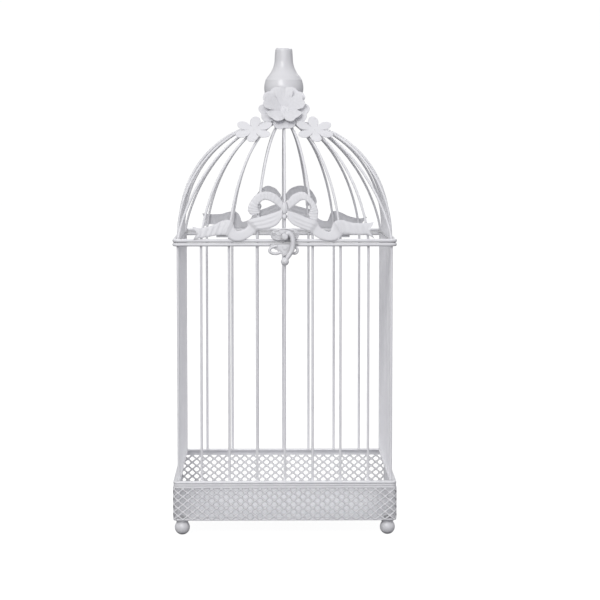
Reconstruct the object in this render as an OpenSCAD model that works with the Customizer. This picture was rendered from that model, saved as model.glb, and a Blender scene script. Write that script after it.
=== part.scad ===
// Birdcage card box: a square wire cage with a hinged, domed lid, standing on a lattice tray.
// The origin is on the surface that the feet stand on, under the middle of the tray.
// +Z is up, -Y is the front, where the clasp is, and +X is to the right seen from the front.

/* [Tray] */
// Width and depth of the tray
tray_w = 230; // [200:1:260]
// Height of the tray's underside above the surface that the feet stand on
tray_z = 15.5; // [15:0.5:20]
// Height of the tray, from its underside to the top of its rim
tray_h = 40.5; // [36:0.5:60]
// Outer radius of the tray's upright corners
tray_corner = 5; // [4:0.5:10]
// Thickness of the pressed lattice and of the rims' skirts
band_t = 1.2; // [0.8:0.1:2]
// Spacing of the lattice diamonds along the band
diamond_w = 9.9; // [8:0.1:14]
// Height of a lattice diamond
diamond_h = 7.56; // [6:0.1:12]
// Width of a lattice strand
strand = 1.5; // [1:0.1:2.5]

/* [Feet] */
// Diameter of a ball foot
foot_d = 15.6; // [12:0.1:18]
// Distance from the tray's outside to a foot's centre
foot_inset = 9; // [9:0.5:20]

/* [Cage] */
// Height of the parting line between the cage's rail and the lid's rail
parting_z = 301.9; // [240:1:400]
// Diameter of the wires
wire_d = 2.6; // [2:0.1:3]
// Spacing of the wires along a face
wire_pitch = 28.5; // [22:0.5:30]
// Number of wires on a face, without the corner wires
wires_per_face = 7; // [5:2:7]
// Diameter of the rails' rod
rail_d = 3.7; // [3:0.1:5]
// Bend radius of the rails' corners, at the middle of the rod
rail_bend = 5; // [4.5:0.5:8]

/* [Dome] */
// Height of the dome above the parting line
dome_h = 124; // [100:1:150]
// Roundness of the wire at the middle of a face: 2 is an ellipse, more is squarer
round_middle = 2.45; // [2:0.05:3]
// Roundness of the corner wires
round_corner = 1.42; // [1.3:0.01:2]

/* [Finial] */
// Height of the finial's top above the parting line
finial_top = 202; // [190:1:220]
// Radius of the finial's bulb
bulb_r = 20.9; // [18:0.1:24]
// Radius of the finial's neck
neck_r = 9.2; // [7:0.1:10]
// Radius of the stem under the bulb
stem_r = 11.7; // [9:0.1:13]

/* [Flowers] */
// Radius of the large flower's rear layer
rear_petal_r = 28; // [24:0.5:29]
// Radius of the large flower's front layer
front_petal_r = 25; // [20:0.5:27]
// Radius of a small flower
small_flower_r = 20.5; // [16:0.5:22]

/* [Bow] */
// Outer radius of a bow's loops
loop_r = 17; // [14:0.5:18]
// Width of the bow's ribbon in the loops
ribbon_w = 9.3; // [7:0.1:10]
// Thickness of the bow's sheet metal
bow_t = 1.5; // [1:0.1:2]

/* [Clasp] */
// Width of the lid's clasp plate
clasp_w = 28.5; // [24:0.5:34]
// Height of the hook's pivot above the parting line
pivot_rise = 6.4; // [6:0.1:8]
// Thickness of the hook's arm
hook_d = 4.4; // [3:0.1:4.5]
// Diameter of the hook's ball end
hook_ball_d = 8.2; // [6:0.1:8.2]

/* [Hinges] */
// Distance of each hinge from the middle of the back
hinge_x = 66; // [60:1:70]
// Length of a hinge
hinge_len = 18; // [12:1:20]
// Radius of a hinge pin
pin_r = 1.2; // [0.8:0.1:1.5]

/* [Hidden] */
$fn = 48;

white = [0.93, 0.93, 0.94];
bare_steel = [0.66, 0.67, 0.69];

touch = 0.02;                            // gap between curved faces that are welded together
gap = 0.3;                               // least gap between pieces that move past each other
half_w = tray_w / 2;
wire_r = wire_d / 2;
rail_r = rail_d / 2;

// Tray
sill_t = 1.5;                            // thickness of the floor plate and of the bottom rim
sill_w = 2.2;                            // width of the bottom rim
rim_h = 7.2;                             // height of the top rim
rim_z = tray_z + tray_h;                 // top of the tray
rim_w = 7.1;                             // width of the top rim's inward flange
lattice_z = tray_z + sill_t;             // bottom of the lattice
lattice_h = tray_h - sill_t - rim_h;     // height of the lattice
lattice_len = tray_w - 2 * tray_corner;  // length of a lattice panel between its corners

// Feet and their screws
foot_xy = half_w - foot_inset;
foot_z = foot_d / 2 - 0.3;               // centre of the ball, which has a small flat underneath
collar_r = 6.6;
screw_r = 2;
screw_depth = 12;                        // how far a screw reaches below the floor plate's top
ways = [[-1, -1], [1, -1], [-1, 1], [1, 1]];

// Wires and rails
rail_gap = gap;                          // gap between the two rails
rail_line = half_w - 0.25 - rail_r;      // middle of a rail's rod, from the centre
wire_line = rail_line - rail_r - wire_r - touch;
corner_line = rail_line - rail_bend + (rail_bend - rail_r - wire_r - touch) / sqrt(2);
cage_rail_z = parting_z - rail_gap / 2 - rail_r;
lid_rail_z = parting_z + rail_gap / 2 + rail_r;
wall_top = parting_z - 0.9;
dome_z = parting_z + 0.7;                // where the dome's wires start
steps = (wires_per_face - 1) / 2;        // wires on each side of a face's middle wire

// Dome: every wire rises from its foot to the crown along a superellipse
dome_rise = parting_z + dome_h - dome_z;
wire_sides = 8;
wire_rings = 15;
crown_r = 13.7;
crown_z = parting_z + dome_h - 3;        // underside of the crown cap
crown_h = 4.6;
crown_top = crown_z + crown_h;
crown_step = 45 / (steps + 1);           // angle between the wires at the crown

// Finial: a bulb, a hollow curve above it and a neck with a rounded top
bulb_z = parting_z + 159;
sweep_z = parting_z + 190;               // where the hollow curve meets the neck
sweep_r = (pow(sweep_z - bulb_z, 2) / (bulb_r - neck_r) - bulb_r - neck_r) / 2;
lip_r = 2.5;
ring_z = parting_z + 168;                // the raised ring on the bulb's shoulder
ring_r = sqrt(pow(bulb_r, 2) - pow(ring_z - bulb_z, 2)) + 0.3;
stud_r = 2;
stud_len = 30;
nut_h = 3.6;

// Flowers
petal_t = 1.2;
flower_tilt = 32;                        // how far the large flower leans back
flower_at = [0, -30.8, parting_z + 134.6];
rear_cup = 16;                           // how far the petals of each layer rise from the hub
front_cup = 32;
rear_hub_r = 6.6;
front_hub_r = 4.6;
small_tilt = 50;
small_turn = 8;                          // how far a small flower faces outwards
small_at = [31.6, -55.6, parting_z + 113.6];
rivet_r = 1.4;

// Bows
bow_lean = 10;                           // how far a bow leans back with the dome
bow_y = rail_line + rail_r + touch;      // back of the bow where it crosses the lid's rail
bow_z = parting_z + 2;
knot_z = 33;                             // heights above bow_z
loop_x = 20;
tail_high = 28;
tail_low = 8;
tail_crest = 14;
tail_end = 10;
tail_w = 13;

// Clasp
plate_y = rail_line + rail_r + touch;    // back of the clasp plates
plate_t = 1.2;
plate_front = plate_y + plate_t;
pivot_z = parting_z + pivot_rise;
pivot_r = 1.45;
hook_y = plate_front + 1.15 + hook_d / 2;      // middle of the hook's arm
ball_y = plate_front + gap + 0.1 + hook_ball_d / 2;
eye_r = 3.6;
hook_top = 5;                            // radius of the hook's upper bend
hook_low = 13.8;                         // radius of its lower bend
hook_out = 9.3;                          // how far the arm stands out beside the pivot
ball_drop = 25.3;

// Hinges
knuckle_r = 2.4;
hinge_y = plate_y + 3.25;                // the hinges' axis, at the height of the parting line
knuckle_len = (hinge_len - 2 * gap) / 3;
leaf_clear = 2;                          // how far a leaf stays above or below the axis
leaf_h = 4.4;
web_t = 2.2;
pin_head = 0.8;

// ---- Shapes used more than once ----

// A square with rounded corners, of half width h
module rounded_square(h, r) {
    for (s = [-1, 1]) for (t = [-1, 1])
        translate([s * (h - r), t * (h - r)]) circle(r);
    square([2 * (h - r), 2 * h], center = true);
    square([2 * h, 2 * (h - r)], center = true);
}

// A flat square frame with rounded corners, outer half width h and width w
module square_frame(h, w, thickness) {
    linear_extrude(thickness) difference() {
        rounded_square(h, tray_corner - (half_w - h));
        rounded_square(h - w, max(tray_corner - (half_w - h) - w, 0.5));
    }
}

// A closed square of round rod with bent corners
module rod_frame() {
    for (k = [0:3]) rotate([0, 0, 90 * k]) {
        translate([0, -rail_line, 0]) rotate([0, 90, 0])
            cylinder(r = rail_r, h = 2 * (rail_line - rail_bend), center = true);
        translate([rail_line - rail_bend, rail_bend - rail_line, 0]) rotate([0, 0, -90])
            rotate_extrude(angle = 90) translate([rail_bend, 0]) circle(rail_r);
    }
}

// A tube of radius r along a path of points that never runs along Y
module tube(path, r) {
    last = len(path) - 1;
    points = [for (i = [0:last]) let (
        along = path[min(i + 1, last)] - path[max(i - 1, 0)],
        side = cross([0, 1, 0], along),
        up = cross(along, side))
        for (j = [0:wire_sides - 1]) let (a = 360 * (j + 0.5) / wire_sides)
            path[i] + r * (cos(a) * side / norm(side) + sin(a) * up / norm(up))];
    start_cap = [for (j = [0:wire_sides - 1]) j];
    end_cap = [for (j = [wire_sides - 1:-1:0]) last * wire_sides + j];
    sides = [for (i = [0:last - 1]) for (j = [0:wire_sides - 1]) let (n = (j + 1) % wire_sides)
        [i * wire_sides + j, (i + 1) * wire_sides + j, (i + 1) * wire_sides + n, i * wire_sides + n]];
    polyhedron(points, concat([start_cap, end_cap], sides));
}

// ---- Tray ----

module floor_plate() {
    color(white) difference() {
        translate([0, 0, tray_z]) linear_extrude(sill_t)
            rounded_square(half_w - sill_w - 0.1, tray_corner - sill_w - 0.1);
        for (w = ways) translate([w[0] * foot_xy, w[1] * foot_xy, tray_z - 1])
            cylinder(r = screw_r + 0.1, h = sill_t + 2);
    }
}

// One face of the pressed band: rows of diamond holes, each row half a diamond along from the last
module lattice_panel() {
    rows = ceil(2 * lattice_h / diamond_h);
    columns = ceil(lattice_len / diamond_w / 2);
    hole_w = diamond_w / 2 - strand * 0.8;
    hole_h = diamond_h / 2 - strand * 0.6;
    edge = 0.8;
    color(white) translate([0, band_t - half_w, lattice_z]) rotate([90, 0, 0])
        linear_extrude(band_t) difference() {
            translate([-lattice_len / 2, 0]) square([lattice_len, lattice_h]);
            intersection() {
                translate([edge - lattice_len / 2, edge])
                    square([lattice_len - 2 * edge, lattice_h - 2 * edge]);
                for (row = [0:rows]) for (col = [-columns:columns])
                    translate([(col + (row % 2) / 2) * diamond_w, row * diamond_h / 2])
                        polygon([[-hole_w, 0], [0, -hole_h], [hole_w, 0], [0, hole_h]]);
            }
        }
}

module lattice_front() { lattice_panel(); }
module lattice_right() { rotate([0, 0, 90]) lattice_panel(); }
module lattice_back() { rotate([0, 0, 180]) lattice_panel(); }
module lattice_left() { rotate([0, 0, 270]) lattice_panel(); }

module lattice_corners() {
    color(white) for (k = [0:3]) rotate([0, 0, 90 * k])
        translate([half_w - tray_corner, half_w - tray_corner, lattice_z])
            rotate_extrude(angle = 90) translate([tray_corner - band_t, 0]) square([band_t, lattice_h]);
}

// The top rim: two fine beads, a groove, a round top bead and a flange that the wires stand on
module tray_top_rim() {
    color(white) {
        translate([0, 0, rim_z - rim_h]) square_frame(half_w - 0.5, band_t - 0.2, rim_h);
        for (bead = [[0, 2], [2.7, 1.9], [5.1, 2.1]])
            translate([0, 0, rim_z - rim_h + bead[0]]) square_frame(half_w, band_t, bead[1]);
        translate([0, 0, rim_z - 1.2]) square_frame(half_w - 0.4, rim_w - 0.4, 1.2);
    }
}

module tray_bottom_rim() {
    color(white) translate([0, 0, tray_z]) square_frame(half_w, sill_w, sill_t);
}

// ---- Feet ----

module ball_foot(way) {
    color(white) translate([way[0] * foot_xy, way[1] * foot_xy, 0]) difference() {
        union() {
            intersection() {
                translate([0, 0, foot_z]) sphere(d = foot_d);
                cylinder(r = foot_d, h = tray_z);
            }
            translate([0, 0, tray_z - 3.3]) cylinder(r = collar_r, h = 3.3);
        }
        translate([0, 0, tray_z + sill_t - screw_depth - 0.2]) cylinder(r = screw_r + 0.05, h = tray_z);
    }
}

module foot_front_left() { ball_foot(ways[0]); }
module foot_front_right() { ball_foot(ways[1]); }
module foot_back_left() { ball_foot(ways[2]); }
module foot_back_right() { ball_foot(ways[3]); }

module foot_screws() {
    color(bare_steel) for (w = ways)
        translate([w[0] * foot_xy, w[1] * foot_xy, tray_z + sill_t]) difference() {
            union() {
                translate([0, 0, -screw_depth]) cylinder(r = screw_r, h = screw_depth + 0.5);
                cylinder(r = 3.6, h = 2.2);
            }
            translate([0, 0, 1.8]) cube([5, 0.9, 1.6], center = true);
            translate([0, 0, 1.8]) cube([0.9, 5, 1.6], center = true);
        }
}

// ---- Cage ----

module corner_wires() {
    color(white) for (w = ways) translate([w[0] * corner_line, w[1] * corner_line, rim_z])
        cylinder(r = wire_r, h = wall_top - rim_z);
}

module wall_wires() {
    color(white) for (k = [-steps:steps]) translate([k * wire_pitch, -wire_line, rim_z])
        cylinder(r = wire_r, h = wall_top - rim_z);
}

module wall_wires_front() { wall_wires(); }
module wall_wires_right() { rotate([0, 0, 90]) wall_wires(); }
module wall_wires_back() { rotate([0, 0, 180]) wall_wires(); }
module wall_wires_left() { rotate([0, 0, 270]) wall_wires(); }

module cage_rail() {
    color(white) translate([0, 0, cage_rail_z]) rod_frame();
}

// A shield that tapers to a point, with a scroll loop on each side
module cage_clasp_plate() {
    top = parting_z - 0.5;
    color(white) translate([0, -plate_y, 0]) rotate([90, 0, 0]) linear_extrude(plate_t) difference() {
        union() {
            polygon([[-clasp_w / 2, top], [-10, top - 5], [0, top - 12.2], [10, top - 5],
                [clasp_w / 2, top]]);
            for (s = [-1, 1]) translate([s * 11.4, top - 7.2]) circle(4.3);
        }
        for (s = [-1, 1]) translate([s * 11.9, top - 7.4]) circle(2.1);
    }
}

module catch_button() {
    color(white) translate([0, -plate_front, parting_z - 4.9]) rotate([90, 0, 0]) cylinder(r = 2.4, h = 0.8);
}

// ---- Dome ----

// The superellipse's exponent for wire k, counted from the middle of a face to its corner
function roundness(k) = round_middle - (round_middle - round_corner) * pow(k / (steps + 1), 2);

// The path of a dome wire whose foot is at foot and whose place at the crown is at angle crown_angle
function dome_path(foot, crown_angle, e) = let (
    reach = norm(foot),
    foot_angle = atan2(foot[1], foot[0]),
    last = acos((crown_r + 0.05) / reach))
    [for (i = [0:wire_rings - 1]) let (
        a = last * i / (wire_rings - 1),
        turn = foot_angle + (crown_angle - foot_angle) * sin(a))
        [reach * cos(a) * cos(turn), reach * cos(a) * sin(turn), dome_z + dome_rise * pow(sin(a), 2 / e)]];

// The front face's wires; the other faces turn these
module dome_wires() {
    color(white) for (k = [-steps:steps])
        tube(dome_path([k * wire_pitch, -wire_line], k * crown_step - 90, roundness(k)), wire_r);
}

module dome_wires_front() { dome_wires(); }
module dome_wires_right() { rotate([0, 0, 90]) dome_wires(); }
module dome_wires_back() { rotate([0, 0, 180]) dome_wires(); }
module dome_wires_left() { rotate([0, 0, 270]) dome_wires(); }

module dome_corner_wires() {
    color(white) for (k = [0:3]) rotate([0, 0, 90 * k])
        tube(dome_path([corner_line, -corner_line], -45, round_corner), wire_r);
}

module lid_rail() {
    color(white) translate([0, 0, lid_rail_z]) rod_frame();
}

module crown_cap() {
    color(white) translate([0, 0, crown_z]) difference() {
        cylinder(r = crown_r, h = crown_h);
        translate([0, 0, -1]) cylinder(r = stud_r + 0.1, h = crown_h + 2);
    }
}

// ---- Finial ----

module finial() {
    top = parting_z + finial_top;
    color(white) difference() {
        rotate_extrude() {
            translate([0, crown_top]) square([stem_r, bulb_z - crown_top]);
            intersection() {
                translate([0, bulb_z]) circle(bulb_r);
                translate([0, bulb_z - bulb_r]) square([bulb_r, 2 * bulb_r]);
            }
            difference() {
                polygon([[0, bulb_z], [neck_r + sweep_r, sweep_z], [0, sweep_z]]);
                translate([neck_r + sweep_r, sweep_z]) circle(sweep_r);
            }
            translate([0, sweep_z - 1]) square([neck_r, top - sweep_z - lip_r + 1]);
            translate([0, top - lip_r - 1]) square([neck_r - lip_r, lip_r + 1]);
            intersection() {
                translate([neck_r - lip_r, top - lip_r]) circle(lip_r);
                translate([neck_r - lip_r - 1, top - lip_r - 0.1]) square([lip_r + 1, lip_r + 0.1]);
            }
            translate([0, ring_z - 0.6]) square([ring_r, 1.2]);
        }
        translate([0, 0, crown_top - 1]) cylinder(r = stud_r + 0.05, h = stud_len * 0.6 + 1);
    }
}

module finial_stud() {
    color(bare_steel) translate([0, 0, crown_z - nut_h - 2])
        cylinder(r = stud_r, h = stud_len * 0.55 + nut_h + 5);
}

module finial_nut() {
    color(bare_steel) translate([0, 0, crown_z - nut_h]) difference() {
        cylinder(r = 4, h = nut_h, $fn = 6);
        translate([0, 0, -1]) cylinder(r = stud_r + 0.05, h = nut_h + 2, $fn = 48);
    }
}

// ---- Flowers ----

// Five heart-shaped petals of length r round a flat hub, the first pointing along angle first. They rise
// from the hub's edge by the angle cup.
module cupped_petals(r, hub_r, first, cup) {
    lobe_r = r * 0.33;
    bend = hub_r - 0.6;
    difference() {
        union() {
            cylinder(r = hub_r, h = petal_t);
            for (k = [0:4]) rotate(first + 72 * k) translate([bend, 0, 0]) rotate([0, -cup, 0])
                linear_extrude(petal_t) for (s = [-1, 1]) hull() {
                    translate([r - bend - lobe_r, s * r * 0.17]) circle(lobe_r, $fn = 32);
                    translate([0, -r * 0.12]) square([0.5, r * 0.24]);
                }
        }
        translate([0, 0, -1]) cylinder(r = rivet_r + 0.05, h = petal_t + 2);
    }
}

// Places a flat ornament at a point, leaning back by tilt and turned outwards by turn
module lean(at, tilt, turn) {
    translate(at) rotate([0, 0, turn]) rotate([90 - tilt, 0, 0]) children();
}

module large_flower_rear() {
    color(white) lean(flower_at, flower_tilt, 0) cupped_petals(rear_petal_r, rear_hub_r, -90, rear_cup);
}

module large_flower_front() {
    color(white) lean(flower_at, flower_tilt, 0) translate([0, 0, petal_t])
        cupped_petals(front_petal_r, front_hub_r, 90, front_cup);
}

module large_flower_rivet() {
    color(white) lean(flower_at, flower_tilt, 0) {
        translate([0, 0, -1]) cylinder(r = rivet_r, h = 2 * petal_t + 1.5);
        translate([0, 0, 2 * petal_t]) cylinder(r = 2.4, h = 1);
        translate([0, 0, -1]) cylinder(r = 2.4, h = 1);
    }
}

module small_flower(side) {
    color(white) lean([side * small_at[0], small_at[1], small_at[2]], small_tilt, side * small_turn)
        linear_extrude(petal_t) {
            circle(small_flower_r * 0.3);
            for (k = [0:5]) rotate(90 + 60 * k) {
                translate([small_flower_r * 0.73, 0]) circle(small_flower_r * 0.27);
                translate([0, -small_flower_r * 0.17]) square([small_flower_r * 0.73, small_flower_r * 0.34]);
            }
        }
}

module small_flower_left() { small_flower(-1); }
module small_flower_right() { small_flower(1); }

// ---- Bows ----

// Stands a flat bow piece, drawn in x and height, against the front of the dome
module on_dome() {
    color(white) translate([0, -bow_y, bow_z]) rotate([90 - bow_lean, 0, 0]) linear_extrude(bow_t) children();
}

module bow_knot() {
    on_dome() {
        translate([0, knot_z + 1.5]) circle(5);
        translate([0, knot_z - 3.5]) circle(4.2);
    }
}

// A loop is a ring that is cut open from angle from to angle to, measured round the ring's middle
module bow_loop(side, from, to) {
    on_dome() difference() {
        translate([side * loop_x, knot_z]) rotate_sector(from, to);
        translate([0, knot_z + 1.5]) circle(5 + touch);
        translate([0, knot_z - 3.5]) circle(4.2 + touch);
    }
}

module rotate_sector(from, to) {
    rim = 2 * loop_r;
    difference() {
        circle(loop_r);
        circle(loop_r - ribbon_w);
        polygon([[0, 0], [rim * cos(to), rim * sin(to)], [rim * cos((to + from + 360) / 2),
            rim * sin((to + from + 360) / 2)], [rim * cos(from), rim * sin(from)]]);
    }
}

// Height of a tail's middle line at distance u: down to a trough, up to a crest and down to its end
function ease(a, b, s) = a + (b - a) * (1 - cos(180 * s)) / 2;
function tail_line(u, trough, crest, end) =
    u < trough ? tail_high + (tail_low - tail_high) * u / trough
    : u < crest ? ease(tail_low, tail_crest, (u - trough) / (crest - trough))
    : ease(tail_crest, tail_end, (u - crest) / (end - crest));

// Half width of a tail at distance u: narrow at the knot, wide in the fold, flared at its end
function tail_half(u, end) = tail_w / 2 * (min(1, 0.55 + u / 30) - 0.18 * sin(180 * min(1, u / end))
    + 0.35 * pow(u / end, 8));

module bow_tail(side, trough, crest, end) {
    start = 2;
    pieces = 24;
    stations = [for (i = [0:pieces]) start + (end - start) * i / pieces];
    upper = [for (u = stations) [side * u, tail_line(u, trough, crest, end) + tail_half(u, end)]];
    notch = [side * (end - 5), tail_line(end, trough, crest, end)];
    lower = [for (i = [pieces:-1:0]) let (u = stations[i])
        [side * u, tail_line(u, trough, crest, end) - tail_half(u, end)]];
    on_dome() difference() {
        polygon(concat(upper, [notch], lower));
        translate([0, knot_z + 1.5]) circle(5 + touch);
        translate([0, knot_z - 3.5]) circle(4.2 + touch);
        translate([side * loop_x, knot_z]) circle(loop_r + touch);
    }
}

module front_bow_knot() { bow_knot(); }
module front_bow_loop_left() { bow_loop(-1, 10, 207); }
module front_bow_loop_right() { bow_loop(1, -45, 170); }
module front_bow_tail_left() { bow_tail(-1, 34, 55, 95); }
module front_bow_tail_right() { bow_tail(1, 45, 58, 92); }

module turned_back() { rotate([0, 0, 180]) children(); }
module back_bow_knot() { turned_back() front_bow_knot(); }
module back_bow_loop_left() { turned_back() front_bow_loop_left(); }
module back_bow_loop_right() { turned_back() front_bow_loop_right(); }
module back_bow_tail_left() { turned_back() front_bow_tail_left(); }
module back_bow_tail_right() { turned_back() front_bow_tail_right(); }

// ---- Clasp ----

// A plaque with an arched top; the stud and two rivets go through it
module lid_clasp_plate() {
    low = parting_z + 2.6;
    arch_r = 26;
    color(white) translate([0, -plate_y, 0]) rotate([90, 0, 0]) linear_extrude(plate_t) difference() {
        intersection() {
            translate([-clasp_w / 2, low]) square([clasp_w, 14]);
            translate([0, low + 12 - arch_r]) circle(arch_r);
        }
        translate([0, pivot_z]) circle(pivot_r + 0.05);
        for (s = [-1, 1]) translate([s * 11.05, parting_z + 10.1]) circle(0.95);
    }
}

module clasp_rivets() {
    color(white) for (s = [-1, 1]) translate([s * 11.05, -plate_y, parting_z + 10.1]) rotate([90, 0, 0]) {
        translate([0, 0, -0.8]) cylinder(r = 0.9, h = plate_t + 1);
        translate([0, 0, -0.8]) cylinder(r = 1.5, h = 0.8);
        intersection() {
            translate([0, 0, plate_t - 0.9]) sphere(2);
            translate([0, 0, plate_t]) cylinder(r = 2, h = 2);
        }
    }
}

// The stud has a shoulder against the plate and a round head in front of the hook's eye
module pivot_stud() {
    eye_back = hook_y - hook_d / 2 - plate_y;
    color(white) translate([0, -plate_y, pivot_z]) rotate([90, 0, 0]) {
        translate([0, 0, -0.6]) cylinder(r = pivot_r, h = eye_back + hook_d + 1.2);
        translate([0, 0, plate_t]) cylinder(r = 2.4, h = eye_back - gap - plate_t);
        translate([0, 0, eye_back + hook_d + gap]) cylinder(r = 2.8, h = 1.2);
    }
}

// The part of a ring, of the arm's width and middle radius r, above the line through its centre
module half_ring(r) {
    difference() {
        circle(r + hook_d / 2);
        circle(r - hook_d / 2);
        translate([-2 * r, -2 * r]) square([4 * r, 2 * r]);
    }
}

// The arm's outline from the eye, out to the right and back under the pivot
module hook_outline() {
    straight = 8;
    rise = -0.8;
    circle(eye_r);
    translate([hook_out - hook_top, rise]) half_ring(hook_top);
    translate([hook_out - hook_d / 2, rise - straight]) square([hook_d, straight]);
    intersection() {
        translate([hook_out - hook_low, rise - straight]) mirror([0, 1]) half_ring(hook_low);
        translate([-1.7, rise - straight - 2 * hook_low]) square(2 * hook_low);
    }
}

// The hook turns on the stud: an eye, an arm that bows out to the right, and a ball under the pivot
module latch_hook() {
    color(white) difference() {
        union() {
            translate([0, hook_d / 2 - hook_y, pivot_z]) rotate([90, 0, 0])
                linear_extrude(hook_d) hook_outline();
            translate([0, -ball_y, pivot_z - ball_drop]) sphere(d = hook_ball_d);
        }
        translate([0, 1 - plate_front, pivot_z]) rotate([90, 0, 0]) cylinder(r = pivot_r + 0.05, h = 12);
    }
}

// ---- Hinges ----

// One leaf: a plate on the rail, and knuckles on webs; up is 1 on the lid and -1 on the cage
module hinge_leaf(up, knuckles) {
    difference() {
        union() {
            translate([-hinge_len / 2, plate_y, up > 0 ? leaf_clear : -leaf_clear - leaf_h])
                cube([hinge_len, plate_t, leaf_h]);
            for (x = knuckles) {
                translate([x, hinge_y, 0]) rotate([0, 90, 0]) cylinder(r = knuckle_r, h = knuckle_len);
                translate([x, plate_y, up > 0 ? gap : -gap - web_t])
                    cube([knuckle_len, hinge_y - plate_y, web_t]);
            }
        }
        translate([-hinge_len, hinge_y, 0]) rotate([0, 90, 0]) cylinder(r = pin_r + 0.05, h = 2 * hinge_len);
    }
}

module cage_hinge_leaves() {
    color(white) for (s = [-1, 1]) translate([s * hinge_x, 0, parting_z])
        hinge_leaf(-1, [-hinge_len / 2, hinge_len / 2 - knuckle_len]);
}

module lid_hinge_leaves() {
    color(white) for (s = [-1, 1]) translate([s * hinge_x, 0, parting_z])
        hinge_leaf(1, [-knuckle_len / 2]);
}

module hinge_pins() {
    color(bare_steel) for (s = [-1, 1]) translate([s * hinge_x, hinge_y, parting_z]) rotate([0, 90, 0]) {
        cylinder(r = pin_r, h = hinge_len + 2 * pin_head, center = true);
        for (e = [-1, 1]) translate([0, 0, e * (hinge_len / 2 + pin_head / 2 + touch)])
            cylinder(r = pin_r + 0.7, h = pin_head, center = true);
    }
}

floor_plate();
lattice_front();
lattice_back();
lattice_left();
lattice_right();
lattice_corners();
tray_top_rim();
tray_bottom_rim();
foot_front_left();
foot_front_right();
foot_back_left();
foot_back_right();
foot_screws();
corner_wires();
wall_wires_front();
wall_wires_back();
wall_wires_left();
wall_wires_right();
cage_rail();
cage_clasp_plate();
catch_button();
cage_hinge_leaves();
hinge_pins();
lid_rail();
dome_wires_front();
dome_wires_back();
dome_wires_left();
dome_wires_right();
dome_corner_wires();
crown_cap();
finial();
finial_stud();
finial_nut();
large_flower_rear();
large_flower_front();
large_flower_rivet();
small_flower_left();
small_flower_right();
front_bow_knot();
front_bow_loop_left();
front_bow_loop_right();
front_bow_tail_left();
front_bow_tail_right();
back_bow_knot();
back_bow_loop_left();
back_bow_loop_right();
back_bow_tail_left();
back_bow_tail_right();
lid_clasp_plate();
clasp_rivets();
pivot_stud();
lid_hinge_leaves();
latch_hook();
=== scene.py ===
"""The looks of a white wire birdcage card box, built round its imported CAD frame.

Lengths are in millimetres until a mesh is made. +Z is up and -Y is the front, where the clasp is.
"""

import math

import bmesh
import bpy
from mathutils import Matrix, Vector


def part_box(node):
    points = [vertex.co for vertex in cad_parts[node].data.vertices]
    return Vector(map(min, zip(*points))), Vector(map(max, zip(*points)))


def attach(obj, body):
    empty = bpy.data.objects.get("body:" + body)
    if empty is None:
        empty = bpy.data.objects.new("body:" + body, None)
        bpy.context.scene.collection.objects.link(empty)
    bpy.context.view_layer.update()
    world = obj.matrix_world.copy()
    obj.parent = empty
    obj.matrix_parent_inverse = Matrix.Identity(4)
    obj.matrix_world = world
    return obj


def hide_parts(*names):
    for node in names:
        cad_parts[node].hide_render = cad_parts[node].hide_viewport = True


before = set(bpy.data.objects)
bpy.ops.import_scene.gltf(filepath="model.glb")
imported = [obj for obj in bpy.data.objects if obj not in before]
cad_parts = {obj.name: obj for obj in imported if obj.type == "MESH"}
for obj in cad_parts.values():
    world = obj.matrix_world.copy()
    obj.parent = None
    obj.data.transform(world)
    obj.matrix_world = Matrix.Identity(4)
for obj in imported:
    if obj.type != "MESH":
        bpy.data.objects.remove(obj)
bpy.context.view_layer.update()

MM = 0.001
LOW, HIGH = 0, 1
X, Y, Z = 0, 1, 2


def side(node, end, axis):
    """Where a CAD node ends along an axis, in mm."""
    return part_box(node)[end][axis] / MM


# ---- Sizes taken from the frame ----

HALF_W = side("tray_top_rim", HIGH, X)
RIM_TOP = side("tray_top_rim", HIGH, Z)
RIM_LOW = side("tray_top_rim", LOW, Z)
LATTICE_LOW = side("lattice_front", LOW, Z)
WIRE_R = (side("wall_wires_front", HIGH, Y) - side("wall_wires_front", LOW, Y)) / 2
WIRE_LINE = -(side("wall_wires_front", HIGH, Y) + side("wall_wires_front", LOW, Y)) / 2
LAST_WIRE = side("wall_wires_front", HIGH, X) - WIRE_R
WIRE_STEPS = 3
WIRE_PITCH = LAST_WIRE / WIRE_STEPS
CORNER_LINE = side("corner_wires", HIGH, X) - WIRE_R
RAIL_R = (side("lid_rail", HIGH, Z) - side("lid_rail", LOW, Z)) / 2
RAIL_LINE = side("lid_rail", HIGH, X) - RAIL_R
CAGE_RAIL_Z = side("cage_rail", LOW, Z) + RAIL_R
LID_RAIL_Z = side("lid_rail", LOW, Z) + RAIL_R
PARTING_Z = (CAGE_RAIL_Z + LID_RAIL_Z) / 2
CROWN_R = side("crown_cap", HIGH, X)
CROWN_LOW = side("crown_cap", LOW, Z)
CROWN_TOP = side("crown_cap", HIGH, Z)
DOME_FOOT = PARTING_Z + 0.7
DOME_TOP = PARTING_Z + 124
FINIAL_TOP = side("finial", HIGH, Z)
BULB_R = side("finial", HIGH, X)
PLATE_BACK = RAIL_LINE + RAIL_R + 0.02
PLATE_FRONT = -side("lid_clasp_plate", LOW, Y)
PIVOT_Z = (side("pivot_stud", HIGH, Z) + side("pivot_stud", LOW, Z)) / 2
BOW_Z = PARTING_Z + 2

TRAY_CORNER = 5
FACES = ("front", "right", "back", "left")
FEET = ("foot_front_left", "foot_front_right", "foot_back_left", "foot_back_right")


# ---- Camera, floor and light ----

CAMERA_AT = (-0.0197, -2.3261, 0.4222)
CAMERA_PITCH = -0.0807
CAMERA_TURN = -0.0159
CAMERA_LENS = 130.33
AIM = Vector((0, 0, 0.27))
FLOOR_R = 9.0
BACKDROP_R = 12.0


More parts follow.
